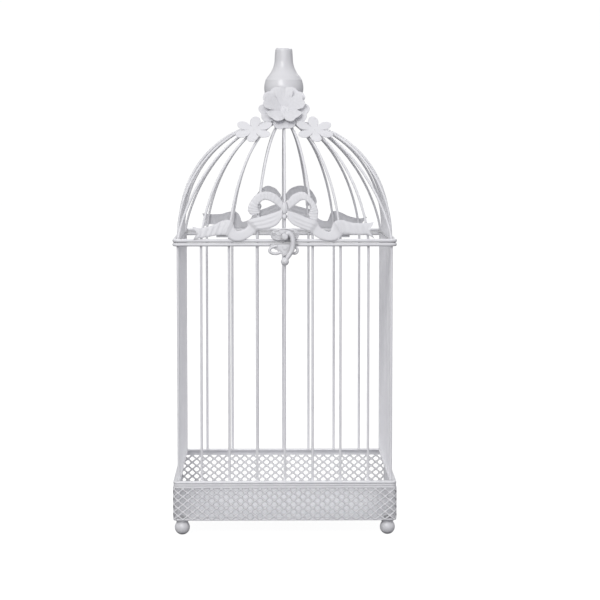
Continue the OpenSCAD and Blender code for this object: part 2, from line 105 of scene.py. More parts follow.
def make_camera():
    data = bpy.data.cameras.new("camera")
    data.lens = CAMERA_LENS
    camera = bpy.data.objects.new("camera", data)
    camera.location = CAMERA_AT
    camera.rotation_euler = (math.pi / 2 + CAMERA_PITCH, 0, CAMERA_TURN)
    bpy.context.collection.objects.link(camera)
    bpy.context.scene.camera = camera


def glow_material(name, strength, pale):
    """A white surface that is mostly bright by itself. A pale above 0 lets it catch a faint shadow."""
    material = bpy.data.materials.new(name)
    material.use_nodes = True
    nodes, links = material.node_tree.nodes, material.node_tree.links
    nodes.clear()
    glow = nodes.new("ShaderNodeEmission")
    glow.inputs["Strength"].default_value = strength
    matte = nodes.new("ShaderNodeBsdfDiffuse")
    matte.inputs["Color"].default_value = (pale, pale, pale, 1)
    both = nodes.new("ShaderNodeAddShader")
    out = nodes.new("ShaderNodeOutputMaterial")
    links.new(glow.outputs["Emission"], both.inputs[0])
    links.new(matte.outputs["BSDF"], both.inputs[1])
    links.new(both.outputs["Shader"], out.inputs["Surface"])
    return material


def stage_object(name, mesh, material):
    """A floor or backdrop that the camera sees. It throws no light on the object."""
    mesh.materials.append(material)
    thing = bpy.data.objects.new(name, mesh)
    bpy.context.collection.objects.link(thing)
    thing.visible_diffuse = False
    thing.visible_glossy = False
    return thing


def make_stage():
    mesh = bpy.data.meshes.new("floor")
    edge = [(FLOOR_R * math.cos(a), FLOOR_R * math.sin(a), 0) for a in turns(96)]
    mesh.from_pydata(edge, [], [list(range(len(edge)))])
    stage_object("floor", mesh, glow_material("floor_white", 0.96, 0.16))
    ball = bmesh.new()
    bmesh.ops.create_icosphere(ball, subdivisions=4, radius=BACKDROP_R)
    mesh = bpy.data.meshes.new("backdrop")
    ball.to_mesh(mesh)
    ball.free()
    backdrop = stage_object("backdrop", mesh, glow_material("backdrop_white", 1.02, 0))
    backdrop.visible_shadow = False


def turns(count):
    """Evenly spaced angles round a circle."""
    return [2 * math.pi * i / count for i in range(count)]


def lamp(name, at, size, power, colour):
    """A soft square lamp that faces the middle of the object."""
    data = bpy.data.lights.new(name, "AREA")
    data.size = size
    data.energy = power
    data.color = colour
    thing = bpy.data.objects.new(name, data)
    thing.location = at
    thing.rotation_euler = (AIM - thing.location).to_track_quat("-Z", "Y").to_euler()
    thing.visible_camera = False
    bpy.context.collection.objects.link(thing)


def make_light():
    """Soft light from the front and above; the sky is bright overhead and dim below."""
    lamp("key", at=(-0.8, -2.3, 1.6), size=1.1, power=27, colour=(1, 0.995, 0.985))
    lamp("front", at=(0.4, -2.7, 0.45), size=1.5, power=12, colour=(0.95, 0.945, 1))
    lamp("rear", at=(0.3, 2.0, 1.8), size=1.4, power=16, colour=(0.98, 0.98, 1))
    world = bpy.data.worlds.new("sky")
    world.use_nodes = True
    nodes, links = world.node_tree.nodes, world.node_tree.links
    nodes.clear()
    coords = nodes.new("ShaderNodeTexCoord")
    split = nodes.new("ShaderNodeSeparateXYZ")
    height = nodes.new("ShaderNodeMapRange")
    height.inputs["From Min"].default_value = -1
    below, level, overhead = (0.15, 0.15, 0.157), (0.31, 0.31, 0.33), (0.74, 0.74, 0.76)
    ramp = ramp_node(nodes, [(0.3, below), (0.52, level), (0.9, overhead)])
    glow = nodes.new("ShaderNodeBackground")
    out = nodes.new("ShaderNodeOutputWorld")
    links.new(coords.outputs["Generated"], split.inputs["Vector"])
    links.new(split.outputs["Z"], height.inputs["Value"])
    links.new(height.outputs["Result"], ramp.inputs["Fac"])
    links.new(ramp.outputs["Color"], glow.inputs["Color"])
    links.new(glow.outputs["Background"], out.inputs["Surface"])
    bpy.context.scene.world = world
    bpy.context.scene.view_settings.view_transform = "Standard"


# ---- Materials ----

def ramp_node(nodes, stops):
    """A colour ramp through (position, colour) stops, in rising order."""
    ramp = nodes.new("ShaderNodeValToRGB")
    elements = ramp.color_ramp.elements
    while len(elements) < len(stops):
        elements.new(0.5)
    for element, (position, colour) in zip(elements, stops):
        element.position = position
        element.color = (*colour, 1)
    return ramp


def noise_node(nodes, links, coords, scale, detail=3.0):
    """Noise over the object, with about scale lumps in a metre."""
    noise = nodes.new("ShaderNodeTexNoise")
    noise.inputs["Scale"].default_value = scale
    noise.inputs["Detail"].default_value = detail
    links.new(coords.outputs["Object"], noise.inputs["Vector"])
    return noise


CLOUD_SCALE = 38
GLOSS_SCALE = 120
GLOSS_UNDER, GLOSS_OVER = 0.07, 0.09
RUNS_PER_PEEL = 6
RUNS_HEIGHT = 2.5
PEEL_STRENGTH = 0.55
COAT_ROUGH = 0.3
# How far the painted shade in creases reaches from other surfaces, in metres.
CREASE_SHADE_REACH = 0.004


def painted_metal(name, light, dark, rough, peel_scale, peel_depth, crease_shade, coat=0.15, metallic=0.0,
                  recess=""):
    """Enamel or plating on metal: two close tones in clouds, painted shade in the creases, uneven gloss,
    and bumps of a fine orange peel over broader runs. peel_depth is in mm, and crease_shade is how much
    darker the painted shade makes the deepest creases. recess names the mesh attribute that is 1 deep
    inside a hole, where the painted shade is darkest. Without one, nearness of other surfaces tells where
    the creases get painted shade."""
    material = bpy.data.materials.new(name)
    material.use_nodes = True
    nodes, links = material.node_tree.nodes, material.node_tree.links
    shader = nodes["Principled BSDF"]
    coords = nodes.new("ShaderNodeTexCoord")
    clouds = noise_node(nodes, links, coords, CLOUD_SCALE)
    tone = ramp_node(nodes, [(0.35, dark), (0.65, light)])
    links.new(clouds.outputs["Fac"], tone.inputs["Fac"])
    white, painted_shade_tone = (1, 1, 1), (1 - crease_shade,) * 3
    if recess:
        # Painted shade: the tone darkens towards a hole's wall, following the recess attribute.
        place = nodes.new("ShaderNodeAttribute")
        place.attribute_name = recess
        depth = place.outputs["Fac"]
        shade = ramp_node(nodes, [(0.5, white), (0.92, painted_shade_tone)])
    else:
        # Painted shade: the tone darkens where other surfaces are near, as in creases and between parts.
        corner = nodes.new("ShaderNodeAmbientOcclusion")
        corner.samples = 6
        corner.inputs["Distance"].default_value = CREASE_SHADE_REACH
        depth = corner.outputs["AO"]
        shade = ramp_node(nodes, [(0.25, painted_shade_tone), (0.85, white)])
    links.new(depth, shade.inputs["Fac"])
    mix = nodes.new("ShaderNodeMix")
    mix.data_type = "RGBA"
    mix.blend_type = "MULTIPLY"
    mix.inputs["Factor"].default_value = 1
    links.new(tone.outputs["Color"], mix.inputs["A"])
    links.new(shade.outputs["Color"], mix.inputs["B"])
    links.new(mix.outputs["Result"], shader.inputs["Base Color"])
    gloss = noise_node(nodes, links, coords, GLOSS_SCALE)
    uneven = nodes.new("ShaderNodeMapRange")
    uneven.inputs["To Min"].default_value = rough - GLOSS_UNDER
    uneven.inputs["To Max"].default_value = rough + GLOSS_OVER
    links.new(gloss.outputs["Fac"], uneven.inputs["Value"])
    links.new(uneven.outputs["Result"], shader.inputs["Roughness"])
    peel = noise_node(nodes, links, coords, peel_scale, 2.0)
    runs = noise_node(nodes, links, coords, peel_scale / RUNS_PER_PEEL, 2.0)
    height = nodes.new("ShaderNodeMath")
    height.operation = "MULTIPLY_ADD"
    height.inputs[1].default_value = RUNS_HEIGHT
    links.new(runs.outputs["Fac"], height.inputs[0])
    links.new(peel.outputs["Fac"], height.inputs[2])
    bump = nodes.new("ShaderNodeBump")
    bump.inputs["Strength"].default_value = PEEL_STRENGTH
    bump.inputs["Distance"].default_value = peel_depth * MM
    links.new(height.outputs["Value"], bump.inputs["Height"])
    links.new(bump.outputs["Normal"], shader.inputs["Normal"])
    shader.inputs["Metallic"].default_value = metallic
    shader.inputs["Coat Weight"].default_value = coat
    shader.inputs["Coat Roughness"].default_value = COAT_ROUGH
    return material


def make_materials():
    """Every finish: a light and a dark tone, then the gloss and the texture."""
    return {
        "wire": painted_metal(
            "painted_wire", light=(0.86, 0.86, 0.875), dark=(0.82, 0.82, 0.84), rough=0.4,
            peel_scale=500, peel_depth=0.025, crease_shade=0.4),
        "cast": painted_metal(
            "painted_casting", light=(0.81, 0.81, 0.825), dark=(0.77, 0.77, 0.79), rough=0.3,
            peel_scale=420, peel_depth=0.07, crease_shade=0.4, coat=0.3),
        "stamped": painted_metal(
            "painted_stamping", light=(0.82, 0.82, 0.84), dark=(0.78, 0.78, 0.80), rough=0.45,
            peel_scale=560, peel_depth=0.07, crease_shade=0.35),
        "lattice": painted_metal(
            "painted_lattice", light=(0.88, 0.88, 0.895), dark=(0.83, 0.83, 0.85), rough=0.36,
            peel_scale=640, peel_depth=0.05, crease_shade=0.58, recess="recess"),
        # Painted shade: the floor plate is a darker grey than the rest of the white paint, standing in for
        # the shade inside the tray.
        "plate": painted_metal(
            "plate_paint_with_painted_shade", light=(0.74, 0.74, 0.76), dark=(0.68, 0.68, 0.70), rough=0.5,
            peel_scale=300, peel_depth=0.10, crease_shade=0.3),
        "zinc": painted_metal(
            "zinc_plated_steel", light=(0.72, 0.72, 0.71), dark=(0.60, 0.60, 0.60), rough=0.34,
            peel_scale=900, peel_depth=0.04, crease_shade=0.3, coat=0.0, metallic=1.0),
    }


MATERIALS = make_materials()


# ---- Building shapes ----

class Shape:
    """Closed parts of one piece: vertices in mm, and faces."""

    def __init__(self):
        self.verts = []
        self.faces = []

    def add(self, part, matrix=None):
        """Adds a (vertices, faces) part, moved by the matrix if there is one."""
        first = len(self.verts)
        verts, faces = part
        self.verts += [matrix @ Vector(v) if matrix else Vector(v) for v in verts]
        self.faces += [[first + i for i in face] for face in faces]
        return self


def finish_piece(name, mesh, body, material, stands_for, sharp_from):
    """Makes the object of a mesh, shaded smooth up to an angle in degrees, and puts it on its body."""
    mesh.materials.clear()
    mesh.materials.append(material)
    mesh.shade_smooth()
    mesh.set_sharp_from_angle(angle=math.radians(sharp_from))
    thing = bpy.data.objects.new(name, mesh)
    bpy.context.collection.objects.link(thing)
    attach(thing, body)
    if stands_for:
        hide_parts(*stands_for)


def piece(name, shape, body, material, stands_for=()):
    """Makes the Blender object of a shape. stands_for names the CAD nodes that it replaces."""
    mesh = bpy.data.meshes.new(name)
    mesh.from_pydata([v * MM for v in shape.verts], [], shape.faces)
    turned = bmesh.new()
    turned.from_mesh(mesh)
    bmesh.ops.recalc_face_normals(turned, faces=turned.faces)
    turned.to_mesh(mesh)
    turned.free()
    finish_piece(name, mesh, body, material, stands_for, sharp_from=45)


def skin(loops, closed=False, thin=False):
    """The skin over a row of equal loops of points. It ends in caps, or joins its start if closed. A thin
    loop runs out along one side and back along the other, so its cap is a strip of faces."""
    count = len(loops[0])
    verts = [point for loop in loops for point in loop]
    faces = []
    for i in range(len(loops) if closed else len(loops) - 1):
        a, b = i * count, (i + 1) % len(loops) * count
        for j in range(count):
            n = (j + 1) % count
            faces.append((a + j, a + n, b + n, b + j))
    if thin:
        for end in (0, len(verts) - count):
            faces += [(end + j, end + j + 1, end + count - 2 - j, end + count - 1 - j)
                      for j in range(count // 2 - 1)]
    elif not closed:
        faces.append(tuple(range(count - 1, -1, -1)))
        faces.append(tuple(range(len(verts) - count, len(verts))))
    return verts, faces


def lathe(profile, segments=64):
    """A profile of (radius, height) points turned about the Z axis."""
    return skin([[(r * math.cos(a), r * math.sin(a), z) for a in turns(segments)] for r, z in profile])


def arc(centre, radius, start, end, count):
    """Points on an arc, with angles in degrees."""
    angles = [math.radians(start + (end - start) * i / (count - 1)) for i in range(count)]
    return [(centre[0] + radius * math.cos(a), centre[1] + radius * math.sin(a)) for a in angles]


def spline(points, per_gap):
    """A smooth curve through the points, each any tuple of numbers."""
    points = [Vector(p) for p in points]
    path = []
    for i in range(len(points) - 1):
        before = points[max(i - 1, 0)]
        a, b = points[i], points[i + 1]
        after = points[min(i + 2, len(points) - 1)]
        for step in range(per_gap):
            t = step / per_gap
            path.append(0.5 * (2 * a + (b - before) * t + (2 * before - 5 * a + 4 * b - after) * t ** 2
                               + (3 * a - before - 3 * b + after) * t ** 3))
    return path + [points[-1]]


def tube(path, radius, sides=12):
    """A round tube along a path. radius is a number, or a function of the place from 0 to 1."""
    path = [Vector(p) for p in path]
    last = len(path) - 1
    across = None
    loops = []
    for i, point in enumerate(path):
        along = (path[min(i + 1, last)] - path[max(i - 1, 0)]).normalized()
        across = (across or along.orthogonal()).cross(along).normalized()
        across = along.cross(across).normalized()
        up = along.cross(across)
        r = radius(i / last) if callable(radius) else radius
        loops.append([point + r * (math.cos(a) * across + math.sin(a) * up) for a in turns(sides)])
    return skin(loops)


def smoothstep(start, end, value):
    """Goes smoothly from 0 at start to 1 at end. Start may be the higher of the two."""
    t = min(1.0, max(0.0, (value - start) / (end - start)))
    return t * t * (3 - 2 * t)


def quarter_turn(index):
    return Matrix.Rotation(math.pi / 2 * index, 4, "Z")


# ---- Tray ----

def tray_outline():
    """Points and outward normals round the tray, a square with rounded corners."""
    per_corner = 9
    centre = Vector((HALF_W - TRAY_CORNER, HALF_W - TRAY_CORNER, 0))
    path = []
    for quarter in range(4):
        turn = quarter_turn(quarter)
        for i in range(per_corner):
            a = math.pi / 2 * i / (per_corner - 1)
            normal = Vector((math.cos(a), math.sin(a), 0))
            path.append((turn @ (centre + TRAY_CORNER * normal), turn @ normal))
    return path


def frame_sweep(profile):
    """A closed profile of (outwards, height) points swept round the tray."""
    loops = [[point + out * normal + Vector((0, 0, z)) for out, z in profile]
             for point, normal in tray_outline()]
    return skin(loops, closed=True)


def top_rim():
    """Three rounded beads over a skirt, and the flange that the wires stand on."""
    skirt_out, flange_w, flange_t = -1.5, 7.1, 1.2
    set_back = 0.25
    beads = [(RIM_LOW + 1.15, 1.15, 0.55, set_back), (RIM_LOW + 3.5, 1.15, 0.5, set_back),
             (RIM_TOP - 1.25, 1.25, 0.9, 0)]
    profile = [(skirt_out, RIM_LOW)]
    for z, half_h, depth, back in beads:
        for out, rise in arc((0, 0), 1, -80, 80, 9):
            profile.append((depth * (out - 1) - back, z + half_h * rise))
    profile += [(-flange_w + 0.5, RIM_TOP), (-flange_w, RIM_TOP - 0.4), (-flange_w, RIM_TOP - flange_t)]
    profile += [(skirt_out, RIM_TOP - flange_t)]
    shape = Shape().add(frame_sweep(profile))
    piece("tray_top_rim_beaded", shape, "cage", MATERIALS["cast"], ["tray_top_rim"])


def bottom_rim():
    """A rolled edge."""
    low = side("tray_bottom_rim", LOW, Z)
    high = side("tray_bottom_rim", HIGH, Z)
    r = (high - low) / 2
    inner = -2.2
    profile = arc((-r, low + r), r, -90, 90, 9) + [(inner, high), (inner, low)]
    shape = Shape().add(frame_sweep(profile))
    piece("tray_bottom_rim_rounded", shape, "cage", MATERIALS["cast"], ["tray_bottom_rim"])


def wrap_point(along, z, out):
    """A point of the flat band, laid round the tray: along the tray's outline, up, and outwards."""
    straight = 2 * (HALF_W - TRAY_CORNER)
    bend = math.pi / 2 * TRAY_CORNER
    quarter, rest = divmod(along, straight + bend)
    if rest < straight:
        point = Vector((rest - straight / 2, -HALF_W - out, z))
    else:
        a = (rest - straight) / TRAY_CORNER
        reach = TRAY_CORNER + out
        point = Vector((straight / 2 + reach * math.sin(a), -straight / 2 - reach * math.cos(a), z))
    return quarter_turn(int(quarter)) @ point


def signed_power(value, power):
    """A power of the value's size, with the value's own sign."""
    return math.copysign(abs(value) ** power, value)


def lattice_band():
    """One pressed sheet of rounded diagonal strands round the whole tray, a ring of faces round each hole.
    Each hole is a share of its diamond, with round_hole from 1, a diamond, to 2, an ellipse. Where strands
    cross they stand proud. The recess attribute goes from 0 on a strand's ridge to 1 on a hole's wall; the
    paint is darkened by it as a painted shade down the hole's walls."""
    diamond_w, diamond_h = 9.9, 7.93
    hole_w, hole_h = 0.63, 0.68
    round_hole = 1.18
    strand_deep, sheet_mid, proud = 0.75, -0.45, 0.18
    tuck = 0.4
    length = 8 * (HALF_W - TRAY_CORNER) + 2 * math.pi * TRAY_CORNER
    columns = round(length / diamond_w)
    pitch = length / columns
    low, high = LATTICE_LOW - tuck, RIM_LOW + tuck
    rows = math.ceil(2 * (high - low) / diamond_h) + 1
    around = turns(12)
    section = [math.pi * i / 5 for i in range(6)]
    sheet = bmesh.new()
    recess = sheet.verts.layers.float.new("recess")
    for row in range(rows):
        for column in range(columns):
            s0 = (column + row % 2 / 2) * pitch
            z0 = low + row * diamond_h / 2
            rings = []
            for turn in section:
                ring = []
                for a in around:
                    c, s = math.cos(a), math.sin(a)
                    outer = Vector((signed_power(c, 2) * pitch / 2, signed_power(s, 2) * diamond_h / 2))
                    inner = Vector((signed_power(c, 2 / round_hole) * pitch / 2 * hole_w,
                                    signed_power(s, 2 / round_hole) * diamond_h / 2 * hole_h))
                    flat = outer.lerp(inner, math.sin(turn))
                    crossing = max(c ** 8, s ** 8) * math.cos(turn / 2) ** 4
                    out = sheet_mid + strand_deep * math.cos(turn) + proud * crossing
                    vert = sheet.verts.new(wrap_point((s0 + flat.x) % length, z0 + flat.y, out) * MM)
                    # Mask for the painted shade that darkens the paint down a hole's wall.
                    vert[recess] = math.sin(turn)
                    ring.append(vert)
                rings.append(ring)
            for one, two in zip(rings, rings[1:]):
                for j in range(len(around)):
                    n = (j + 1) % len(around)
                    sheet.faces.new((one[j], one[n], two[n], two[j]))
    bmesh.ops.remove_doubles(sheet, verts=sheet.verts, dist=0.004 * MM)
    for z, way in ((low, -1), (high, 1)):
        everything = sheet.verts[:] + sheet.edges[:] + sheet.faces[:]
        bmesh.ops.bisect_plane(sheet, geom=everything, plane_co=(0, 0, z * MM), plane_no=(0, 0, way),
                               clear_outer=True, dist=0.0005 * MM)
        edges = [e for e in sheet.edges if e.is_boundary]
        bmesh.ops.holes_fill(sheet, edges=edges, sides=0)
    bmesh.ops.recalc_face_normals(sheet, faces=sheet.faces)
    mesh = bpy.data.meshes.new("tray_lattice")
    sheet.to_mesh(mesh)
    sheet.free()
    panels = ["lattice_" + place for place in ("front", "back", "left", "right", "corners")]
    finish_piece("tray_lattice", mesh, "cage", MATERIALS["lattice"], panels, sharp_from=70)


def ball_feet():
    """Each foot is a turned ball with a small flat underneath, a waist and a collar under the tray."""
    sunk, flat_r, collar_r = 0.3, 2.1, 6.6
    for node in FEET:
        low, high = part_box(node)
        ball_r = (high[X] - low[X]) / 2 / MM
        top = high[Z] / MM
        centre_z = ball_r - sunk
        at = Matrix.Translation(Vector(((low[X] + high[X]) / 2, (low[Y] + high[Y]) / 2, 0)) / MM)
        start = -math.degrees(math.acos(flat_r / ball_r))
        profile = [(0.3, 0), (2.0, 0)] + arc((0, centre_z), ball_r, start, 44, 26)
        profile += [(collar_r - 0.75, top - 2.2), (collar_r - 0.15, top - 1.7), (collar_r, top - 1.2),
                    (collar_r, top - 0.3), (collar_r - 0.3, top), (0.3, top)]
        piece(node + "_turned", Shape().add(lathe(profile, 48), at), "cage", MATERIALS["cast"], [node])


# ---- Wires ----

def roundness(k):
    """The superellipse's exponent for wire k, counted from the middle of a face to its corner."""
    middle, corner = 2.45, 1.42
    return middle - (middle - corner) * (k / (WIRE_STEPS + 1)) ** 2


def dome_path(foot, crown_angle, exponent):
    """A dome wire from its foot on the rail to the crown cap."""
    rings = 44
    clear = 0.05
    reach = math.hypot(*foot)
    foot_angle = math.atan2(foot[1], foot[0])
    last = math.acos((CROWN_R + clear) / reach)
    path = []
    for i in range(rings):
        a = last * i / (rings - 1)
        turn = foot_angle + (crown_angle - foot_angle) * math.sin(a)
        r = reach * math.cos(a)
        height = (DOME_TOP - DOME_FOOT) * math.sin(a) ** (2 / exponent)
        path.append((r * math.cos(turn), r * math.sin(turn), DOME_FOOT + height))
    return path


def face_paths():
    """The paths of the front face's dome wires."""
    step = math.pi / 4 / (WIRE_STEPS + 1)
    return [dome_path((k * WIRE_PITCH, -WIRE_LINE), k * step - math.pi / 2, roundness(k))
            for k in range(-WIRE_STEPS, WIRE_STEPS + 1)]


def dome_wires():
    for index, face in enumerate(FACES):
        shape = Shape()
        for path in face_paths():
            shape.add(tube(path, WIRE_R), quarter_turn(index))
        piece("dome_wires_" + face + "_bent", shape, "lid", MATERIALS["wire"], ["dome_wires_" + face])
    shape = Shape()
    path = dome_path((CORNER_LINE, -CORNER_LINE), -math.pi / 4, roundness(WIRE_STEPS + 1))
    for index in range(4):
        shape.add(tube(path, WIRE_R), quarter_turn(index))
    piece("dome_corner_wires_bent", shape, "lid", MATERIALS["wire"], ["dome_corner_wires"])


def round_profile(radius, steps, tip):
    """Half a circle from pole to pole, to be turned into a ball. It comes no closer to the axis than tip."""
    angles = [math.pi * i / steps for i in range(steps + 1)]
    return [(max(tip, radius * math.sin(a)), -radius * math.cos(a)) for a in angles]


def weld_bead(x, y, z):
    """A small lump of weld, drawn out along the rail."""
    along, deep, tall = 1.5, 0.9, 1.2
    verts, faces = lathe(round_profile(1, 8, 0.05), 12)
    return [Vector((x + v[X] * along, y + v[Y] * deep, z + v[Z] * tall)) for v in verts], faces


def welds():
    """Weld beads where the wires meet the rails, and fillets of paint where they stand on the tray."""
    between = (WIRE_LINE + WIRE_R + RAIL_LINE - RAIL_R) / 2
    off_middle = 0.2
    fillet = [(WIRE_R + 1.0, RIM_TOP - 0.1), (WIRE_R + 0.55, RIM_TOP + 0.25),
              (WIRE_R + 0.2, RIM_TOP + 0.8), (WIRE_R - 0.1, RIM_TOP + 1.8)]
    for index, face in enumerate(FACES):
        cage, lid, feet = Shape(), Shape(), Shape()
        for k in range(-WIRE_STEPS, WIRE_STEPS + 1):
            x = k * WIRE_PITCH
            cage.add(weld_bead(x, -between, CAGE_RAIL_Z - off_middle), quarter_turn(index))
            lid.add(weld_bead(x, -between, LID_RAIL_Z + off_middle), quarter_turn(index))
            feet.add(lathe(fillet, 16), quarter_turn(index) @ Matrix.Translation((x, -WIRE_LINE, 0)))
        piece("cage_weld_beads_" + face, cage, "cage", MATERIALS["wire"])
        piece("lid_weld_beads_" + face, lid, "lid", MATERIALS["wire"])
        piece("wire_foot_fillets_" + face, feet, "cage", MATERIALS["wire"])


# ---- Crown and finial ----

def crown_cap():
    """A turned disc with round edges and a bore for the finial's stud."""
    edge_r, bore_r = 1.6, 2.1
    profile = [(bore_r, CROWN_LOW)] + arc((CROWN_R - edge_r, CROWN_LOW + edge_r), edge_r, -90, 0, 7)
    profile += arc((CROWN_R - edge_r, CROWN_TOP - edge_r), edge_r, 0, 90, 7) + [(bore_r, CROWN_TOP)]
    piece("crown_cap_turned", Shape().add(lathe(profile)), "lid", MATERIALS["cast"], ["crown_cap"])


def finial():
    """A turned bulb with a fine ring on its shoulder, a hollow curve above it and a straight neck."""
    bulb_z = PARTING_Z + 159
    sweep_z = PARTING_Z + 190
    neck_r, stem_r, lip_r, top_r = 9.7, 11.7, 3.3, 9.15
    ring_z, ring_half, ring_proud = PARTING_Z + 167.4, 1.7, 0.3
    sweep_r = ((sweep_z - bulb_z) ** 2 / (BULB_R - neck_r) - BULB_R - neck_r) / 2
    meet = math.degrees(math.atan2(sweep_z - bulb_z, neck_r + sweep_r))
    stem_meet = -math.degrees(math.acos((stem_r + 0.9) / BULB_R))
    profile = [(0.3, CROWN_TOP), (stem_r + 0.4, CROWN_TOP), (stem_r + 0.5, CROWN_TOP + 0.9)]
    profile += [(stem_r, CROWN_TOP + 2), (stem_r, CROWN_TOP + 12), (stem_r + 0.25, CROWN_TOP + 15)]
    for r, z in arc((0, bulb_z), BULB_R, stem_meet, meet, 70):
        near = smoothstep(ring_half, 0, abs(z - ring_z))
        profile.append((r + ring_proud * near, z))
    profile += arc((neck_r + sweep_r, sweep_z), sweep_r, 180 + meet, 180, 24)[1:]
    profile += arc((top_r - lip_r, FINIAL_TOP - 0.4 - lip_r), lip_r, 0, 78, 10)
    profile += [(top_r * 0.4, FINIAL_TOP - 0.12), (top_r * 0.2, FINIAL_TOP - 0.02), (0.3, FINIAL_TOP)]
    piece("finial_turned", Shape().add(lathe(profile, 96)), "lid", MATERIALS["cast"], ["finial"])


# ---- Flowers ----

def lean(at, tilt, turn):
    """Places a flat ornament at a point, leaning back by tilt and turned outwards by turn, in degrees."""
    stand = Matrix.Rotation(math.radians(90 - tilt), 4, "X")
    return Matrix.Translation(at) @ Matrix.Rotation(math.radians(turn), 4, "Z") @ stand


def petal_layer(petals, first, radius, outline, height, thickness, hole=1.45, hub=4.0, cup=0.0):
    """A layer of petals stamped from one sheet, which rise from the hub by the angle cup, in degrees.
    first is the angle of the first petal. outline and height are functions of the place on a petal:
    across from -1 to 1, and out from 0 to 1."""
    rings, per_petal = 16, 26
    rise, spread = math.sin(math.radians(cup)), math.cos(math.radians(cup))
    loops = []
    for i in range(petals * per_petal):
        across = 2 * (i % per_petal) / per_petal - 1
        angle = math.radians(first) + 2 * math.pi / petals * (i // per_petal + (across / 2))
        reach = radius * outline(across)
        front, back = [], []
        for j in range(rings + 1):
            out = j / rings
            r = hole + (reach - hole) * out
            z = height(across, r / radius, i // per_petal)
            thin = thickness * (1 - 0.55 * smoothstep(0.85, 1, out))
            past = max(0, r - hub)
            level = r - past * (1 - spread)
            for side_points, depth in ((front, (thickness + thin) / 2), (back, (thickness - thin) / 2)):
                tall = z + depth
                flat_r = level - tall * rise * smoothstep(0, 2, past)
                side_points.append((flat_r * math.cos(angle), flat_r * math.sin(angle), past * rise + tall))
        loops.append(front + back[::-1])
    return skin(loops, closed=True)


def heart(across):
    """The outline of a broad petal with a shallow notch."""
    return 1 - 0.06 * math.exp(-(across / 0.2) ** 2) - 0.36 * abs(across) ** 5


def daisy(across):
    """The outline of a round-ended petal that is narrow at its foot."""
    return 0.3 + 0.7 * (1 - abs(across) ** 1.7) ** 0.55


def veined(belly, vein, ruffle, lifts):
    """The relief of a veined petal: it bulges in the middle and is ruffled, and each of its two sides is
    lifted over its neighbour or tucked under it."""
    def height(across, out, petal):
        bulge = belly * (1 - across ** 2) * math.sin(math.pi * min(1, out))
        lap = lifts[petal][across > 0] * across ** 2 * smoothstep(0.35, 0.8, out)
        veins = vein * math.cos(across * math.pi * 6.5) * smoothstep(0.25, 0.7, out)
        edge = ruffle * math.sin(across * 5 + petal * 2.1) * smoothstep(0.55, 1, out)
        return bulge + lap + veins + edge
    return height


def plain_petal(lift, belly):
    """The relief of a smooth petal that curls up by lift, with each tip bent a little its own way."""
    def height(across, out, petal):
        tip = 0.4 * math.sin(petal * 2.4) * smoothstep(0.4, 1, out)
        return lift * out ** 2 + belly * (1 - across ** 2) * smoothstep(0.3, 0.9, out) + tip
    return height


LARGE_AT = Vector((0, -30.8, PARTING_Z + 134.6))
LARGE_TILT = 32
REAR_R, REAR_HUB, REAR_CUP = 28, 6.6, 16
FRONT_R, FRONT_HUB, FRONT_CUP = 25.5, 4.6, 32
LAYER_GAP = 1.3
REAR_LIFTS = [(0, 0), (0, 0.5), (-0.4, 0.4), (-0.5, 0.5), (-0.5, 0)]
FRONT_LIFTS = [(0.2, 0.2), (-0.2, 0.6), (-0.6, 0.1), (0.1, -0.6), (0.6, -0.2)]
SMALL_R = 20.5
SMALL_X, SMALL_Y, SMALL_Z = 31.6, -55.6, PARTING_Z + 113.6
SMALL_TILT, SMALL_TURN = 50, 8


def stamping(name, shape_part, place, stands_for):
    """One stamped ornament of the lid."""
    shape = Shape().add(shape_part, place)
    piece(name, shape, "lid", MATERIALS["stamped"], [stands_for])


def large_flower():
    """Two cupped layers of five petals, and the domed boss of the rivet that holds them."""
    place = lean(LARGE_AT, LARGE_TILT, 0)
    raised = place @ Matrix.Translation((0, 0, LAYER_GAP))
    rear_relief = veined(0.9, 0.1, 0.5, REAR_LIFTS)
    rear = petal_layer(5, -90, REAR_R, heart, rear_relief, 1.1, hub=REAR_HUB, cup=REAR_CUP)
    front_relief = veined(0.9, 0.1, 0.5, FRONT_LIFTS)
    front = petal_layer(5, 90, FRONT_R, heart, front_relief, 1.0, hub=FRONT_HUB, cup=FRONT_CUP)
    boss = [(0.2, -1), (1.4, -1), (1.4, 2.2), (2.5, 2.3)] + arc((0, 0), 3.4, 43, 88, 10)
    stamping("large_flower_rear_petals", rear, place, "large_flower_rear")
    stamping("large_flower_front_petals", front, raised, "large_flower_front")
    stamping("large_flower_boss", lathe(boss, 32), place, "large_flower_rivet")


def small_flowers():
    """A shallow six-petal flower on each shoulder of the dome."""
    for name, way in (("left", -1), ("right", 1)):
        petals = petal_layer(6, 90, SMALL_R, daisy, plain_petal(1.0, 0.6), 1.1, hole=0.3)
        place = lean((way * SMALL_X, SMALL_Y, SMALL_Z), SMALL_TILT, way * SMALL_TURN)
        stamping("small_flower_" + name + "_petals", petals, place, "small_flower_" + name)


# ---- Bows ----

BOW_LEAN = math.radians(10)


def on_dome(x, z, out):
    """A bow's point at height z, standing out from the plane that leans back with the dome."""
    y = -PLATE_BACK + math.tan(BOW_LEAN) * (z - BOW_Z)
    return Vector((x, y, z)) + out * Vector((0, -math.cos(BOW_LEAN), -math.sin(BOW_LEAN)))


